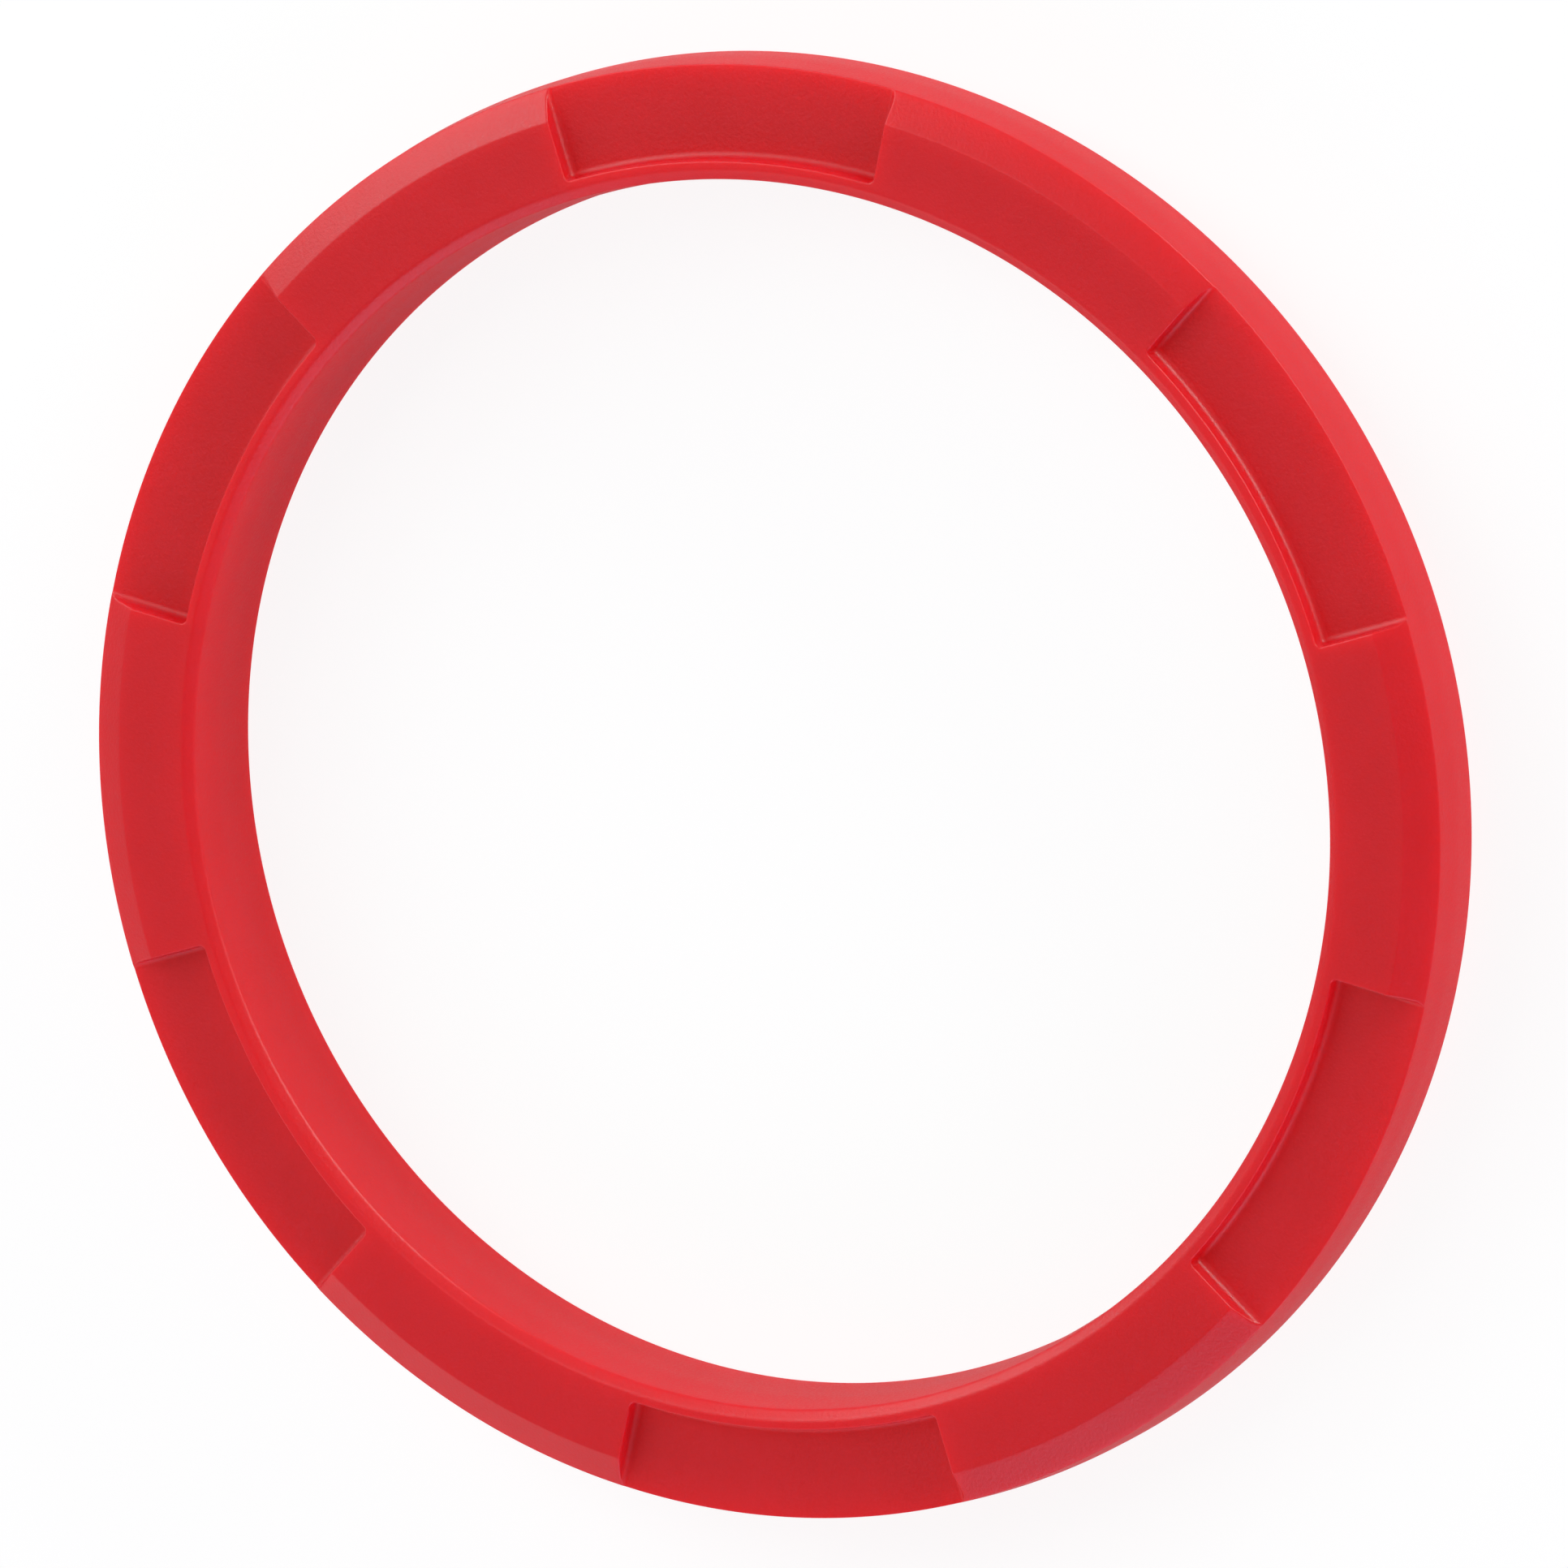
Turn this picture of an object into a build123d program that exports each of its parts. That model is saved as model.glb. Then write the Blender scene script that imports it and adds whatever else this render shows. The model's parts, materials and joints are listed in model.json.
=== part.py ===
from build123d import *
import math
import os

# Wheel-centring ring: one injection-moulded ring that fills the gap between a wheel's
# centre hole and the smaller spigot of the hub. It lies flat on its rear face, with the
# notched front face up. Millimetres, +Z up, origin at the centre of the rear face.

# Driving dimensions
WHEEL_BORE_D = 67.1         # centre hole of the wheel that the ring goes into
HUB_SPIGOT_D = 56.1         # spigot of the hub that goes into the ring
WIDTH = 6.0                 # rear face to front face

# Outer wall
SEAT_TOP_Z = 3.6            # the parallel seat ends here and the lead-in begins
LEAD_IN = 0.2               # what the lead-in takes off the radius at its front end
REAR_CHAMFER = 2.0          # 45 degree chamfer behind the seat
FRONT_CHAMFER_W = 1.45      # front chamfer, across the face
FRONT_CHAMFER_H = 0.78      # front chamfer, along the axis
OUTER_EDGE_ROUND = 0.08     # chamfer to lead-in
FACE_EDGE_ROUND = 0.25      # chamfer to front face

# Bore
BORE_TOP_Z = 3.6            # the parallel bore ends here and the draft begins
BORE_DRAFT = 0.15           # what the draft adds to the radius at its front end
BORE_CHAMFER_W = 0.46       # front edge of the bore, across the face
BORE_CHAMFER_H = 0.34       # front edge of the bore, along the axis
BORE_EDGE_ROUND = 0.3       # both edges of that chamfer
BORE_REAR_CHAMFER = 0.4     # 45 degree chamfer at the rear edge of the bore

# Notches in the front face, open at the rim
NOTCH_COUNT = 6
NOTCH_ANGLE = 30.3          # angle that a notch takes up at the front face
NOTCH_DEPTH = 0.83
NOTCH_INNER_R = 29.08       # inner wall of a notch, at the front face
NOTCH_DRAFT = 3.0           # lean of the walls, in degrees from the axis
NOTCH_CORNER_ROUND = 0.28   # plan radius of the two inner corners
NOTCH_FLOOR_ROUND = 0.32    # concave radius where the walls meet the floor
NOTCH_OVERRUN = 3.0         # how far the cutter reaches past the outer wall

seat_r = WHEEL_BORE_D / 2
bore_r = HUB_SPIGOT_D / 2


def round_corners(profile, corners, radius):
    """Fillet the vertices of a profile in the XZ plane that lie at the given (r, z) corners."""
    chosen = []
    for r, z in corners:
        chosen.append(profile.vertices().sort_by_distance((r, 0, z))[0])
    return fillet(chosen, radius)


def ring_profile():
    """Half section of the ring in the XZ plane: outer wall, front face, bore, rear face."""
    front_wall_r = seat_r - LEAD_IN
    chamfer_foot = (front_wall_r, WIDTH - FRONT_CHAMFER_H)
    face_outer = (front_wall_r - FRONT_CHAMFER_W, WIDTH)
    bore_front_r = bore_r + BORE_DRAFT
    face_inner = (bore_front_r + BORE_CHAMFER_W, WIDTH)
    bore_lip = (bore_front_r, WIDTH - BORE_CHAMFER_H)
    outline = [
        (seat_r - REAR_CHAMFER, 0),
        (seat_r, REAR_CHAMFER),
        (seat_r, SEAT_TOP_Z),
        chamfer_foot,
        face_outer,
        face_inner,
        bore_lip,
        (bore_r, BORE_TOP_Z),
        (bore_r, BORE_REAR_CHAMFER),
        (bore_r + BORE_REAR_CHAMFER, 0),
    ]
    points = [(r, 0, z) for r, z in outline]
    profile = make_face(Polyline(*points, close=True))
    profile = round_corners(profile, [chamfer_foot], OUTER_EDGE_ROUND)
    profile = round_corners(profile, [face_outer], FACE_EDGE_ROUND)
    return round_corners(profile, [face_inner, bore_lip], BORE_EDGE_ROUND)


def notch_outline(height, inset):
    """Plan outline of one notch on the +X side at a height, drawn in by an inset all round."""
    inner_r = NOTCH_INNER_R + inset
    outer_r = seat_r + NOTCH_OVERRUN
    half = math.radians(NOTCH_ANGLE / 2)
    # A side wall is a straight line that runs parallel to the notch's side radius.
    inner_half = half - math.asin(inset / inner_r)
    outer_half = half - math.asin(inset / outer_r)
    inner_low = (inner_r * math.cos(inner_half), -inner_r * math.sin(inner_half))
    inner_high = (inner_low[0], -inner_low[1])
    outer_low = (outer_r * math.cos(outer_half), -outer_r * math.sin(outer_half))
    outer_high = (outer_low[0], -outer_low[1])
    sides = [
        Line(inner_low, outer_low),
        ThreePointArc(outer_low, (outer_r, 0), outer_high),
        Line(outer_high, inner_high),
        ThreePointArc(inner_high, (inner_r, 0), inner_low),
    ]
    outline = make_face(sides)
    inner_corners = outline.vertices().sort_by(Axis.X)[:2]
    outline = fillet(inner_corners, NOTCH_CORNER_ROUND)
    return Pos(0, 0, height) * outline


def notch_cutter():
    """Solid that a notch removes: leaning walls, a flat floor and a concave floor edge."""
    lean = math.tan(math.radians(NOTCH_DRAFT))
    floor = notch_outline(WIDTH - NOTCH_DEPTH, NOTCH_DEPTH * lean)
    above = notch_outline(WIDTH + NOTCH_DEPTH, -NOTCH_DEPTH * lean)
    cutter = loft([floor, above])
    floor_edges = cutter.faces().sort_by(Axis.Z)[0].edges()
    return fillet(floor_edges, NOTCH_FLOOR_ROUND)


def centring_ring():
    """The whole ring, revolved and then notched."""
    ring = revolve(ring_profile(), Axis.Z)
    cutter = notch_cutter()
    for k in range(NOTCH_COUNT):
        ring -= Rot(0, 0, k * 360 / NOTCH_COUNT) * cutter
    return ring


os.makedirs("parts", exist_ok=True)
export_step(centring_ring(), "parts/centring_ring.step")
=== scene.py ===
import json
import math

import bmesh
import bpy
import numpy as np
from mathutils import Matrix, Vector


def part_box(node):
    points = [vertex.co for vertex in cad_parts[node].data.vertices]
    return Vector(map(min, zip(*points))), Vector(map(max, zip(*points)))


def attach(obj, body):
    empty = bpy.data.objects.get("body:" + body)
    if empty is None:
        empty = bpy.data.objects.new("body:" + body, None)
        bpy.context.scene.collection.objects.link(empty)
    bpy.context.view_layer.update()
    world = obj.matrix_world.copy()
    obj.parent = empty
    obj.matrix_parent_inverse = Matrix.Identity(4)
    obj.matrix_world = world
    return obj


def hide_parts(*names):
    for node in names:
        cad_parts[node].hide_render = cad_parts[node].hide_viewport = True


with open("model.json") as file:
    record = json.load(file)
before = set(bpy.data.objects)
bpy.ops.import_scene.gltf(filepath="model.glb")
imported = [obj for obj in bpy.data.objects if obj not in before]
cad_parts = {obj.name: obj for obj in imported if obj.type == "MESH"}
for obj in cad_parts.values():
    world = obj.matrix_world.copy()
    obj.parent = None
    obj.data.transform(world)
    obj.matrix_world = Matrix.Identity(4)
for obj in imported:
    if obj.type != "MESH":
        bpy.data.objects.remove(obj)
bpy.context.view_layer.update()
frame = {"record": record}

# The ring is rebuilt here as one closed surface with its small edge radii, in millimetres
# about the CAD frame: Z is the bore axis and the rear face lies at zero.

MM = 0.001

# Sizes shared with the CAD ring
mounts = {m["name"]: m for m in frame["record"]["mounts"]}
SEAT_R = mounts["wheel_seat"]["dims"]["r_mm"]
BORE_R = mounts["hub_bore"]["dims"]["r_mm"]
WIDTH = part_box("centring_ring")[1].z / MM
SEAT_TOP_Z = 3.6
LEAD_IN = 0.2
REAR_CHAMFER = 2.0
FRONT_CHAMFER_W = 1.45
FRONT_CHAMFER_H = 0.78
BORE_TOP_Z = 3.6
BORE_DRAFT = 0.15
BORE_CHAMFER_W = 0.46
BORE_CHAMFER_H = 0.34
BORE_REAR_CHAMFER = 0.4
NOTCH_COUNT = 6
NOTCH_ANGLE = 30.3
NOTCH_DEPTH = 0.83
NOTCH_INNER_R = 29.08
NOTCH_DRAFT = 3.0
NOTCH_CORNER_ROUND = 0.28
NOTCH_FLOOR_ROUND = 0.32

# Edge radii, given as how far each one reaches along the two faces that it joins
CRISP_EDGE = 0.05
LIP_EDGE = 0.12
FACE_EDGE = 0.06
RIM_EDGE = 0.09
FAINT_BREAK = 0.4           # where a wall changes its slope by a few degrees
RIM_BAND = 0.12             # strip of face kept along a notch's rim
INNER_CORNER_ROUND = 0.06   # smallest plan radius in a notch's inner corners
LARGEST_RIM_SHARE = 0.3     # the most of a low wall that its rounded rim may take up

# Segment counts round the axis, for half of one notch and half of one land
ARC_COLUMNS = 18
CORNER_SEGMENTS = 8
LAND_COLUMNS = 18

# Segment counts across the faces and walls
FACE_SEGMENTS = 5
CHAMFER_SEGMENTS = 7
STRIP_SEGMENTS = 3
FILLET_SEGMENTS = 8
WALL_SEGMENTS = 3
EDGE_SEGMENTS = 4
BREAK_SEGMENTS = 4
LEAD_IN_SEGMENTS = 3
SEAT_SEGMENTS = 2
REAR_CHAMFER_SEGMENTS = 4
BORE_SEGMENTS = 4
BORE_CHAMFER_SEGMENTS = 3

half_notch = math.radians(NOTCH_ANGLE / 2)
half_pitch = math.pi / NOTCH_COUNT
front_wall_r = SEAT_R - LEAD_IN
foot_z = WIDTH - FRONT_CHAMFER_H
face_outer_r = front_wall_r - FRONT_CHAMFER_W
face_inner_r = BORE_R + BORE_DRAFT + BORE_CHAMFER_W
floor_z = WIDTH - NOTCH_DEPTH


# ---- Profiles ----

def soft_ramp(x, reach):
    """Zero for negative x, x for positive x, with a smooth turn within reach of zero."""
    turn = (x + reach) ** 2 / (4 * reach)
    return np.where(x <= -reach, 0.0, np.where(x >= reach, x, turn))


def land_z(r):
    """Height of a land's top at radius r: the flat face, then the front chamfer."""
    slope = FRONT_CHAMFER_H / FRONT_CHAMFER_W
    return WIDTH - slope * soft_ramp(r - face_outer_r, FACE_EDGE)


def outer_wall_r(z):
    """Radius of the outer wall at height z: the parallel seat, then the lead-in."""
    slope = LEAD_IN / (foot_z - SEAT_TOP_Z)
    return SEAT_R - slope * soft_ramp(z - SEAT_TOP_Z, FAINT_BREAK)


def bore_wall_r(z):
    """Radius of the bore at height z: the parallel part, then the draft."""
    slope = BORE_DRAFT / (WIDTH - BORE_CHAMFER_H - BORE_TOP_Z)
    return BORE_R + slope * soft_ramp(z - BORE_TOP_Z, FAINT_BREAK)


def edge_curve(start, corner, end, segments=EDGE_SEGMENTS):
    """Points of a small rounded edge from start to end, drawn towards the sharp corner."""
    t = np.linspace(0, 1, segments + 1)[:, None]
    start, corner, end = np.array(start), np.array(corner), np.array(end)
    return (1 - t) ** 2 * start + 2 * t * (1 - t) * corner + t ** 2 * end


def towards(a, b, distance):
    """The point that lies the given distance from a on the way to b."""
    a, b = np.array(a, float), np.array(b, float)
    return a + (b - a) * distance / np.linalg.norm(b - a)


def straight(a, b, segments):
    """Points strictly between a and b, which cut the line into that many segments."""
    t = np.linspace(0, 1, segments + 1)[1:-1, None]
    return np.array(a) + (np.array(b) - np.array(a)) * t


def wall_section(top):
    """Half section of a notch's wall as (offset, height) pairs, from the floor up to the land.

    Offset is measured into the notch from the line of the rim at full height, and height
    from the floor. The wall stops at the given top, which is lower along the chamfer."""
    lean = math.radians(NOTCH_DRAFT)
    radius = NOTCH_FLOOR_ROUND
    centre = (radius + (NOTCH_DEPTH - radius) * math.sin(lean)) / math.cos(lean)
    arc_turn = min(math.pi / 2 - lean, math.acos(max(-1.0, 1 - top / radius)))
    arc_length = radius * arc_turn
    wall_length = max(0.0, top - radius * (1 - math.sin(lean))) / math.cos(lean)
    length = arc_length + wall_length

    def at(s):
        turn = min(s, arc_length) / radius
        rise = max(0.0, s - arc_length)
        offset = centre - radius * math.sin(turn) - rise * math.sin(lean)
        return offset, radius * (1 - math.cos(turn)) + rise * math.cos(lean)

    edge = min(RIM_EDGE, LARGEST_RIM_SHARE * length)
    full_arc = radius * (math.pi / 2 - lean)
    full_wall = (NOTCH_DEPTH - radius * (1 - math.sin(lean))) / math.cos(lean)
    share = full_arc / (full_arc + full_wall)
    steps = np.concatenate([
        np.linspace(0, share, FILLET_SEGMENTS + 1)[:-1],
        np.linspace(share, 1, WALL_SEGMENTS + 1),
    ])
    body = [at(s) for s in steps * (length - edge)]
    rim_offset = at(length)[0]
    rim = edge_curve(body[-1], (rim_offset, top), (rim_offset - edge, top))
    return np.vstack([body, rim[1:], [(-RIM_BAND, top)]])


# ---- Patches: grids of (radius, angle, height) for half a notch and half a land ----

def side_angle(offset, r):
    """Angle of a point at radius r that lies the given offset inside the notch's side line."""
    return half_notch - np.arcsin(offset / r)


def side_rows():
    """Radii of the rows that cross a notch's side wall, from its inner corner to the rim."""
    start = NOTCH_INNER_R + 2 * NOTCH_CORNER_ROUND
    face_end, chamfer_start = face_outer_r - FACE_EDGE, face_outer_r + FACE_EDGE
    return np.concatenate([
        np.linspace(start, face_end, FACE_SEGMENTS + 1),
        np.linspace(face_end, chamfer_start, EDGE_SEGMENTS + 1)[1:],
        np.linspace(chamfer_start, front_wall_r - CRISP_EDGE, CHAMFER_SEGMENTS + 1)[1:],
        [front_wall_r],
    ])


def notch_loops():
    """Loops that follow the notch's outline, from its floor up the wall and onto the land."""
    rows = side_rows()
    sections = [wall_section(land_z(r) - floor_z) for r in rows]
    loops = []
    for k, (offset, height) in enumerate(wall_section(NOTCH_DEPTH)):
        round_r = max(NOTCH_CORNER_ROUND - offset, INNER_CORNER_ROUND)
        arc_r = NOTCH_INNER_R + offset
        arc_end = side_angle(offset + round_r, arc_r)
        z = floor_z + height
        points = [(arc_r, arc_end * i / ARC_COLUMNS, z) for i in range(ARC_COLUMNS + 1)]
        for turn in np.linspace(0, math.pi / 2, CORNER_SEGMENTS + 1)[1:]:
            r = arc_r + round_r * (1 - math.cos(turn))
            b = offset + round_r * (1 - math.sin(turn))
            points.append((r, side_angle(b, r), z))
        for r, section in zip(rows, sections):
            points.append((r, side_angle(section[k][0], r), floor_z + section[k][1]))
        loops.append(points)
    return np.array(loops)


def coons(bottom, top, left, right):
    """Grid between four boundary curves: bottom and top run along u, left and right along v."""
    u = np.linspace(0, 1, len(bottom))[None, :, None]
    v = np.linspace(0, 1, len(left))[:, None, None]
    ruled_v = (1 - v) * bottom[None] + v * top[None]
    ruled_u = (1 - u) * left[:, None] + u * right[:, None]
    corners = (
        (1 - u) * (1 - v) * bottom[0] + u * (1 - v) * bottom[-1]
        + (1 - u) * v * top[0] + u * v * top[-1]
    )
    return ruled_v + ruled_u - corners


def half_sector_patches():
    """All patches from the notch's middle to the land's middle, apart from the rear face."""
    loops = notch_loops()
    mid = ARC_COLUMNS + CORNER_SEGMENTS // 2    # the station in the middle of the corner
    inner, outer = loops[0], loops[-1]

    side = inner[mid:-1]
    stretch = (side[-1, 0] - inner[0, 0]) / (side[-1, 0] - side[0, 0])
    middle_line = np.array([
        (inner[0, 0] + (r - side[0, 0]) * stretch, 0.0, floor_z) for r in side[:, 0]
    ])
    rim_line = inner[:mid + 1] * (0, side[-1, 1] / inner[mid, 1], 1) + (side[-1, 0], 0, 0)
    floor = coons(inner[:mid + 1], rim_line, middle_line, side)

    land_edge = outer[mid:-1]
    across = np.linspace(0, 1, LAND_COLUMNS + 1)[None, :, None]
    land_middle = land_edge * (1, 0, 1) + (0, half_pitch, 0)
    land = land_edge[:, None] + (land_middle - land_edge)[:, None] * across

    lip_r = face_inner_r + LIP_EDGE
    inward = np.linspace(0, 1, STRIP_SEGMENTS + 1)[:, None, None]
    strip_edge = outer[:mid + 1]
    strip_lip = strip_edge * (0, 1, 1) + (lip_r, 0, 0)
    strip = strip_edge[None] + (strip_lip - strip_edge)[None] * inward
    corner_edge = land[0]
    corner_lip = corner_edge * (0, 1, 1) + (lip_r, 0, 0)
    corner = corner_edge[None] + (corner_lip - corner_edge)[None] * inward

    lip_angles = np.concatenate([strip_lip[:, 1], corner_lip[1:, 1]])
    rim_points = np.vstack([floor[-1], loops[1:, -2], land[-1, 1:]])
    floor_corners = floor[-1] * (0, 1, 1)
    land_corners = land[-1, 1:] * (0, 1, 0) + (0, 0, foot_z)
    rim_corners = np.vstack([floor_corners, loops[1:, -1], land_corners])
    skirt = np.array([skirt_column(p, q[2]) for p, q in zip(rim_points, rim_corners)])
    bore = np.array([[(r, angle, z) for r, z in bore_profile()] for angle in lip_angles])
    return [floor, loops[:, :-1], land, strip, corner, skirt, bore]


def skirt_column(start, corner_z):
    """One column of the outer wall, from the top edge down to the rear face."""
    corner = (outer_wall_r(corner_z), corner_z)
    top_z = corner_z - CRISP_EDGE
    edge = edge_curve((start[0], start[2]), corner, (outer_wall_r(top_z), top_z))
    break_top, break_end = SEAT_TOP_Z + FAINT_BREAK, SEAT_TOP_Z - FAINT_BREAK
    heights = np.concatenate([
        np.linspace(top_z, break_top, LEAD_IN_SEGMENTS + 1),
        np.linspace(break_top, break_end, BREAK_SEGMENTS + 1)[1:],
        np.linspace(break_end, REAR_CHAMFER + CRISP_EDGE, SEAT_SEGMENTS + 1)[1:],
    ])
    wall = np.stack([outer_wall_r(heights), heights], axis=1)
    shoulder = (SEAT_R, REAR_CHAMFER)
    heel = (SEAT_R - REAR_CHAMFER, 0)
    chamfer_start = towards(shoulder, heel, CRISP_EDGE)
    chamfer_end = towards(heel, shoulder, CRISP_EDGE)
    profile = np.vstack([
        edge,
        wall[1:],
        edge_curve(wall[-1], shoulder, chamfer_start)[1:],
        straight(chamfer_start, chamfer_end, REAR_CHAMFER_SEGMENTS),
        edge_curve(chamfer_end, heel, (heel[0] - CRISP_EDGE, 0)),
    ])
    return np.array([(r, start[1], z) for r, z in profile])


def bore_profile():
    """The bore as (radius, height) pairs, from the front face down to the rear face."""
    lip_z = WIDTH - BORE_CHAMFER_H
    face_corner = (face_inner_r, WIDTH)
    lip_corner = (bore_wall_r(lip_z), lip_z)
    chamfer_start = towards(face_corner, lip_corner, LIP_EDGE)
    chamfer_end = towards(lip_corner, face_corner, LIP_EDGE)
    top_z = lip_z - LIP_EDGE
    break_top, break_end = BORE_TOP_Z + FAINT_BREAK, BORE_TOP_Z - FAINT_BREAK
    heights = np.concatenate([
        np.linspace(top_z, break_top, BORE_SEGMENTS + 1),
        np.linspace(break_top, break_end, BREAK_SEGMENTS + 1)[1:],
        np.linspace(break_end, BORE_REAR_CHAMFER + CRISP_EDGE, BORE_SEGMENTS + 1)[1:],
    ])
    wall = np.stack([bore_wall_r(heights), heights], axis=1)
    shoulder = (BORE_R, BORE_REAR_CHAMFER)
    heel = (BORE_R + BORE_REAR_CHAMFER, 0)
    rear_start = towards(shoulder, heel, CRISP_EDGE)
    rear_end = towards(heel, shoulder, CRISP_EDGE)
    return np.vstack([
        edge_curve((face_inner_r + LIP_EDGE, WIDTH), face_corner, chamfer_start),
        straight(chamfer_start, chamfer_end, BORE_CHAMFER_SEGMENTS),
        edge_curve(chamfer_end, lip_corner, wall[0]),
        wall[1:],
        edge_curve(wall[-1], shoulder, rear_start)[1:],
        straight(rear_start, rear_end, BORE_CHAMFER_SEGMENTS),
        edge_curve(rear_end, heel, (heel[0] + CRISP_EDGE, 0)),
    ])


# ---- Mesh ----

def grid_faces(rows, columns, first):
    """Quads of a grid whose vertices start at the given index."""
    i, j = np.meshgrid(np.arange(rows - 1), np.arange(columns - 1), indexing="ij")
    corner = first + i * columns + j
    quads = np.stack([corner, corner + 1, corner + columns + 1, corner + columns], axis=-1)
    return quads.reshape(-1, 4).tolist()


def rear_faces(skirt, bore):
    """Points and faces of the flat rear face, from the skirt's last row to the bore's."""
    outer, inner = skirt[:, -1], bore[:, -1]
    extra = len(outer) - len(inner)
    mid = ARC_COLUMNS + CORNER_SEGMENTS // 2
    partner = [min(j, max(mid, j - extra)) for j in range(len(outer))]
    faces = []
    for j in range(len(outer) - 1):
        a, b = len(outer) + partner[j], len(outer) + partner[j + 1]
        faces.append([j, j + 1, b] if a == b else [j, j + 1, b, a])
    return np.vstack([outer, inner]), faces


def to_xyz(points, turn, mirror):
    """Points in metres from (radius, angle, height), mirrored about angle zero and then turned."""
    angle = points[:, 1] * mirror + turn
    r, z = points[:, 0], points[:, 2]
    return np.stack([r * np.cos(angle), r * np.sin(angle), z], axis=1) * MM


def ring_mesh(name):
    """The whole ring as one closed mesh: each half sector is placed, mirrored and turned."""
    patches = half_sector_patches()
    points, faces, count = [], [], 0
    for patch in patches:
        rows, columns = patch.shape[:2]
        points.append(patch.reshape(-1, 3))
        faces += grid_faces(rows, columns, count)
        count += rows * columns
    rear_points, rear = rear_faces(*patches[-2:])
    points.append(rear_points)
    faces += [[count + i for i in face] for face in rear]
    sector = np.vstack(points)

    all_points, all_faces = [], []
    for k in range(NOTCH_COUNT):
        for mirror in (1, -1):
            base = len(all_points) * len(sector)
            all_points.append(to_xyz(sector, 2 * half_pitch * k, mirror))
            all_faces += [[base + i for i in face] for face in faces]
    mesh = bpy.data.meshes.new(name)
    mesh.from_pydata(np.vstack(all_points).tolist(), [], all_faces)

    weld_distance = 1e-6
    bm = bmesh.new()
    bm.from_mesh(mesh)
    bmesh.ops.remove_doubles(bm, verts=bm.verts, dist=weld_distance)
    bmesh.ops.recalc_face_normals(bm, faces=bm.faces)
    bm.to_mesh(mesh)
    bm.free()
    mesh.shade_smooth()
    return mesh


# ---- Material ----

DEEP_RED = (0.75, 0.007, 0.014, 1)
PALE_RED = (0.81, 0.011, 0.022, 1)
RED_BLEED_DEPTH = 3.0       # how far red light spreads inside the plastic


def node(tree, kind, inputs=None, **settings):
    """A new node with its settings, and its inputs set to values or linked to sockets."""
    made = tree.nodes.new(kind)
    for name, value in settings.items():
        setattr(made, name, value)
    for name, value in (inputs or {}).items():
        if isinstance(value, bpy.types.NodeSocket):
            tree.links.new(value, made.inputs[name])
        else:
            made.inputs[name].default_value = value
    return made


def noise(tree, position, size_mm, detail=2.0, roughness=0.5):
    """Noise whose features are about the given size."""
    return node(tree, "ShaderNodeTexNoise", {
        "Vector": position, "Scale": 1 / (size_mm * MM), "Detail": detail, "Roughness": roughness,
    }).outputs["Fac"]


def remap(tree, value, low, high, from_low=0.3, from_high=0.7):
    """The value, spread from its usual range to a new one."""
    return node(tree, "ShaderNodeMapRange", {
        "Value": value,
        "From Min": from_low,
        "From Max": from_high,
        "To Min": low,
        "To Max": high,
    }).outputs["Result"]


def red_plastic():
    """Satin red moulded plastic that lets a little light through, with a fine eroded texture."""
    material = bpy.data.materials.new("red_plastic")
    material.use_nodes = True
    tree = material.node_tree
    tree.nodes.clear()
    position = node(tree, "ShaderNodeTexCoord").outputs["Object"]

    cloud = noise(tree, position, 4.0, detail=3.0)
    speckle = noise(tree, position, 0.10, detail=2.0, roughness=0.7)
    grain = noise(tree, position, 0.16, detail=3.0, roughness=0.7)
    flow = noise(tree, position, 1.2, detail=1.0)

    blend = node(tree, "ShaderNodeMix", {
        "Factor": 0.6, "A": remap(tree, cloud, 0.0, 1.0), "B": remap(tree, speckle, 0.0, 1.0),
    }).outputs["Result"]
    tint = node(tree, "ShaderNodeMix", {
        "Factor": blend, "A": DEEP_RED, "B": PALE_RED,
    }, data_type="RGBA").outputs["Result"]

    texture = node(tree, "ShaderNodeBump", {
        "Strength": 0.42, "Distance": 0.05 * MM, "Height": grain,
    }).outputs["Normal"]
    surface = node(tree, "ShaderNodeBump", {
        "Strength": 0.12, "Distance": 0.03 * MM, "Height": flow, "Normal": texture,
    }).outputs["Normal"]
    shader = node(tree, "ShaderNodeBsdfPrincipled", {
        "Base Color": tint,
        "Roughness": remap(tree, speckle, 0.34, 0.50),
        "IOR": 1.5,
        "Normal": surface,
        "Subsurface Weight": 1.0,
        "Subsurface Radius": (1.0, 0.06, 0.06),
        "Subsurface Scale": RED_BLEED_DEPTH * MM,
    })
    node(tree, "ShaderNodeOutputMaterial", {"Surface": shader.outputs["BSDF"]})
    return material


# ---- Studio ----

WHITE = (1, 1, 1, 1)
LIGHT_DISTANCE = 1.2
FLOOR_HALF_WIDTH = 3.0

# Light that reaches the ring: from all round, and from the floor inside, under and outside it
AMBIENT = 0.21
GLOW_INSIDE = 0.125
GLOW_UNDER = 0.6
GLOW_OUTSIDE = 0.2
FLOOR_ALBEDO = 0.6

# How the floor and the backdrop look to the camera itself
SEEN_FLOOR_GLOW = 0.88
SEEN_FLOOR_ALBEDO = 0.15
SEEN_BACKDROP = 0.85


def seen_directly(tree, seen, otherwise):
    """One strength where the camera sees a surface itself, and another for the light it gives."""
    is_camera = node(tree, "ShaderNodeLightPath").outputs["Is Camera Ray"]
    return remap(tree, is_camera, otherwise, seen, 0.0, 1.0)


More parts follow.
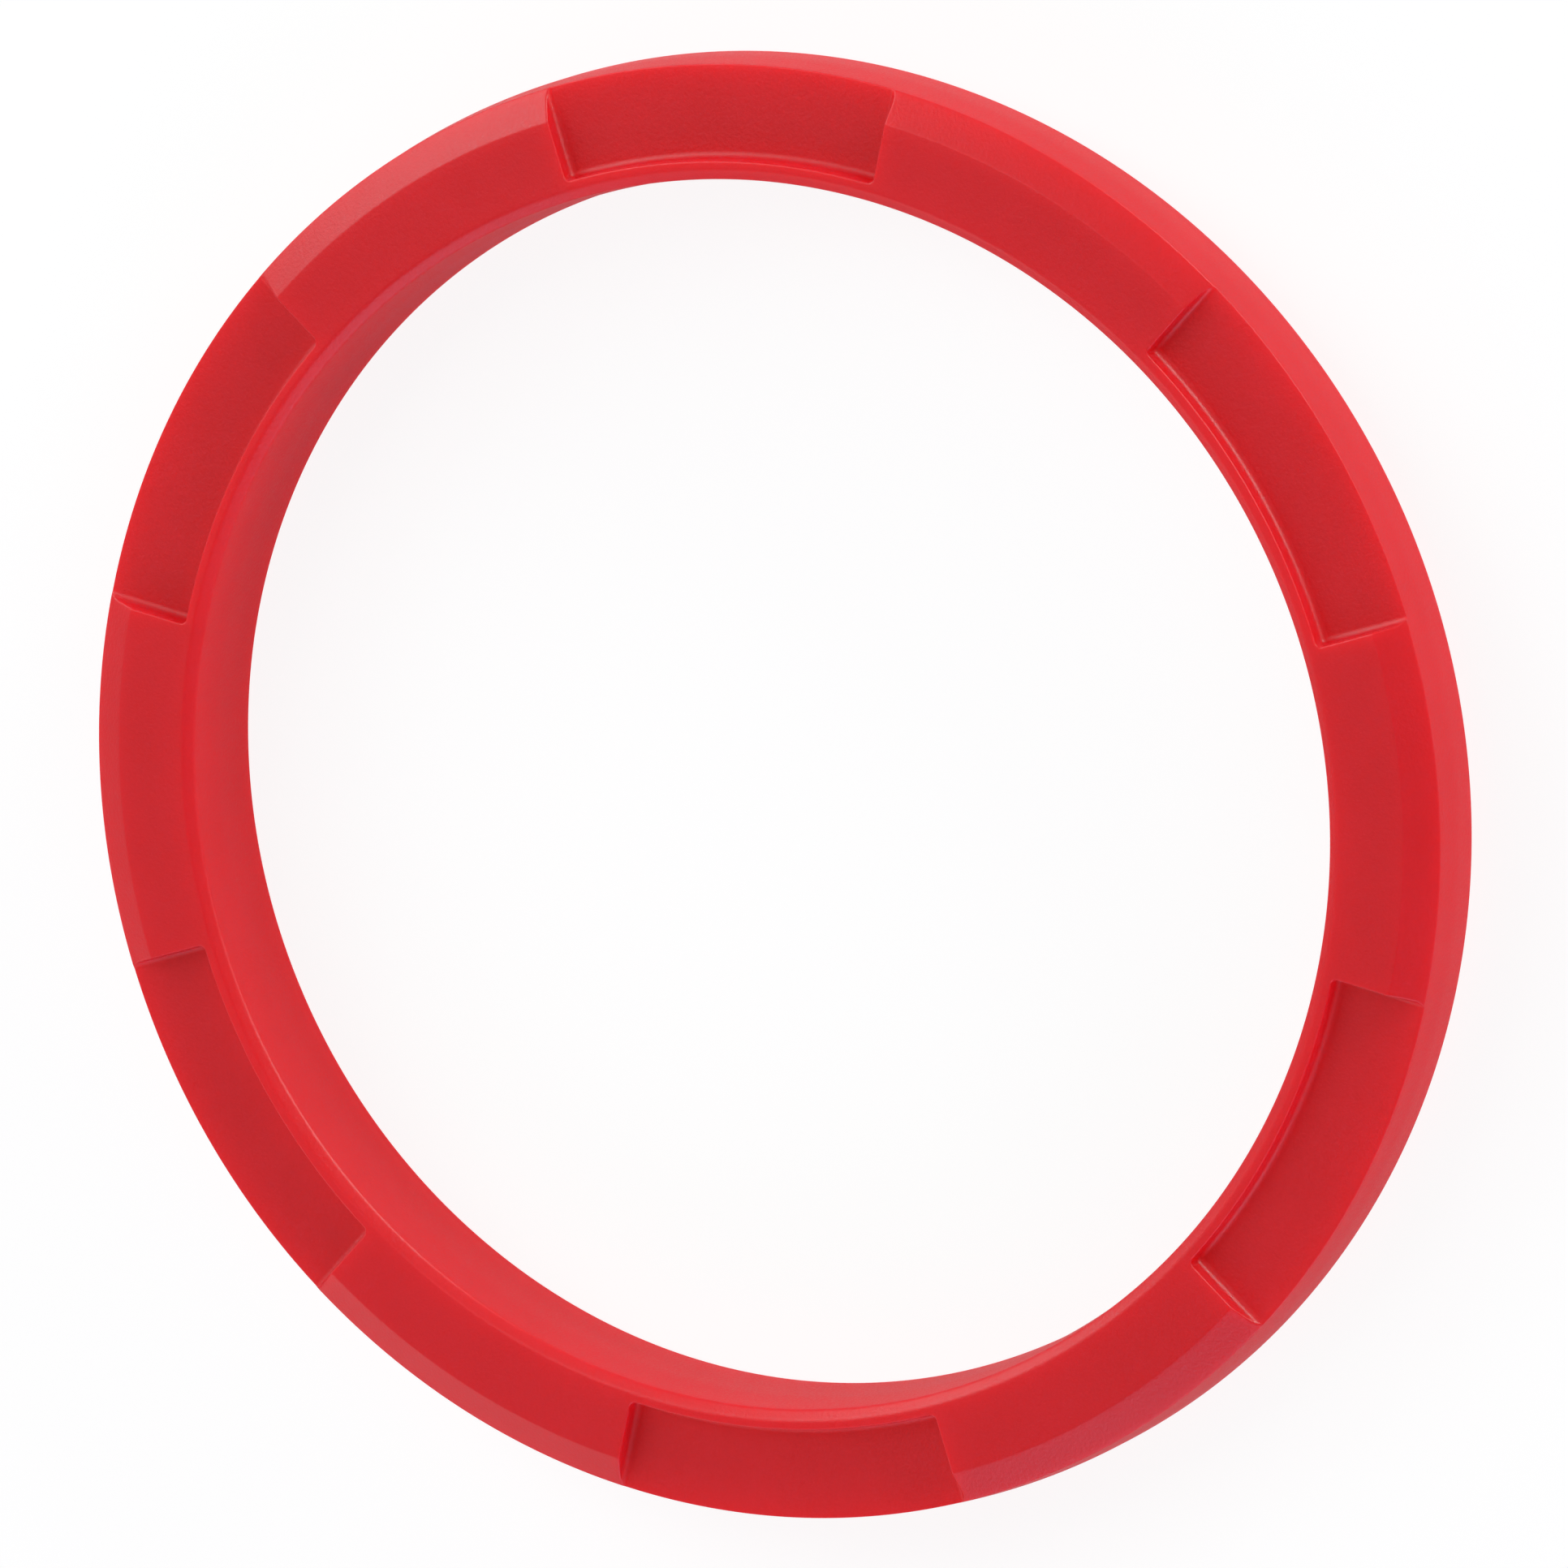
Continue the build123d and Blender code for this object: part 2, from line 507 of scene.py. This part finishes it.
def floor_glow(tree):
    """Strength of the light that the floor gives, which changes with the distance from the axis."""
    position = node(tree, "ShaderNodeTexCoord").outputs["Object"]
    length = node(tree, "ShaderNodeVectorMath", {"Vector": position}, operation="LENGTH")
    radius = length.outputs["Value"]
    beside = remap(tree, radius, GLOW_INSIDE, GLOW_OUTSIDE, BORE_R * MM, SEAT_R * MM)
    under = node(tree, "ShaderNodeMath", operation="COMPARE")
    tree.links.new(radius, under.inputs[0])
    under.inputs[1].default_value = (SEAT_R + BORE_R) / 2 * MM
    under.inputs[2].default_value = (SEAT_R - BORE_R) / 2 * MM
    return remap(tree, under.outputs["Value"], beside, GLOW_UNDER, 0.0, 1.0)


def pale_floor():
    """A plain pale floor. It looks nearly white, but lights the ring less than a white floor would."""
    material = bpy.data.materials.new("pale_floor")
    material.use_nodes = True
    tree = material.node_tree
    tree.nodes.clear()
    shader = node(tree, "ShaderNodeBsdfPrincipled", {
        "Base Color": seen_directly(tree, SEEN_FLOOR_ALBEDO, FLOOR_ALBEDO),
        "Roughness": 0.9,
        "Emission Color": WHITE,
        "Emission Strength": seen_directly(tree, SEEN_FLOOR_GLOW, floor_glow(tree)),
    })
    node(tree, "ShaderNodeOutputMaterial", {"Surface": shader.outputs["BSDF"]})
    half = FLOOR_HALF_WIDTH
    corners = [(-half, -half, 0), (half, -half, 0), (half, half, 0), (-half, half, 0)]
    mesh = bpy.data.meshes.new("floor")
    mesh.from_pydata(corners, [], [(0, 1, 2, 3)])
    mesh.materials.append(material)
    floor = bpy.data.objects.new("floor", mesh)
    bpy.context.scene.collection.objects.link(floor)


def direction(azimuth, elevation):
    """Unit vector at an azimuth from +X and an elevation, in degrees."""
    a, e = math.radians(azimuth), math.radians(elevation)
    return Vector((math.cos(a) * math.cos(e), math.sin(a) * math.cos(e), math.sin(e)))


def softbox(name, azimuth, elevation, size, power, tint=(1, 1, 1)):
    """A rectangular area light that faces the ring from a given direction."""
    light = bpy.data.lights.new(name, "AREA")
    light.shape = "RECTANGLE"
    light.size, light.size_y = size
    light.energy = power
    light.color = tint
    lamp = bpy.data.objects.new(name, light)
    lamp.location = direction(azimuth, elevation) * LIGHT_DISTANCE
    lamp.rotation_mode = "QUATERNION"
    lamp.rotation_quaternion = direction(azimuth, elevation).to_track_quat("Z", "Y")
    lamp.visible_camera = False
    bpy.context.scene.collection.objects.link(lamp)


def backdrop():
    """A pale backdrop that adds only a faint light from all round."""
    world = bpy.data.worlds.new("backdrop")
    world.use_nodes = True
    tree = world.node_tree
    tree.nodes.clear()
    shader = node(tree, "ShaderNodeBackground", {
        "Color": WHITE, "Strength": seen_directly(tree, SEEN_BACKDROP, AMBIENT),
    })
    node(tree, "ShaderNodeOutputWorld", {"Surface": shader.outputs["Background"]})
    bpy.context.scene.world = world


def camera():
    """A long lens that looks down on the ring from in front, turned about its own axis."""
    azimuth, elevation, roll = -68.596, 63.349, 112.251
    distance = 21.964 * front_wall_r * MM
    aim_right, aim_up = 0.0462 * front_wall_r * MM, 0.0208 * front_wall_r * MM
    data = bpy.data.cameras.new("camera")
    data.sensor_width = 36.0
    data.lens = 372.35
    data.clip_start, data.clip_end = 0.01, 20.0
    back = direction(azimuth, elevation)
    turned = back.to_track_quat("Z", "Y").to_matrix() @ Matrix.Rotation(-math.radians(roll), 3, "Z")
    right, up = turned.col[0], turned.col[1]
    lens = bpy.data.objects.new("camera", data)
    lens.rotation_mode = "QUATERNION"
    lens.rotation_quaternion = turned.to_quaternion()
    lens.location = Vector((0, 0, WIDTH * MM)) + back * distance + right * aim_right + up * aim_up
    bpy.context.scene.collection.objects.link(lens)
    bpy.context.scene.camera = lens


ring = bpy.data.objects.new("ring_body", ring_mesh("ring_body"))
bpy.context.scene.collection.objects.link(ring)
ring.data.materials.append(red_plastic())
flatten = ring.modifiers.new("flatten", "WEIGHTED_NORMAL")
flatten.mode = "FACE_AREA"
flatten.weight = 90
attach(ring, "root")
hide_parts("centring_ring")

pale_floor()
backdrop()
softbox("key", 50, 28, (0.7, 0.7), 6.1, tint=(0.84, 1.0, 1.0))
softbox("key_top", 42, 58, (0.8, 0.5), 2.1, tint=(1.3, 1.0, 1.0))
softbox("low_side", 314, 9, (0.78, 0.28), 10.5, tint=(0.68, 0.98, 0.92))
softbox("camera_side", 270, 10, (0.6, 0.34), 1.2, tint=(1.1, 0.4, 0.5))
softbox("left_fill", 194, 17, (1.2, 0.6), 4.5, tint=(1.0, 0.95, 1.3))
softbox("back_fill", 131, 22, (0.7, 0.6), 2.0)
camera()
bpy.context.scene.view_settings.view_transform = "Standard"
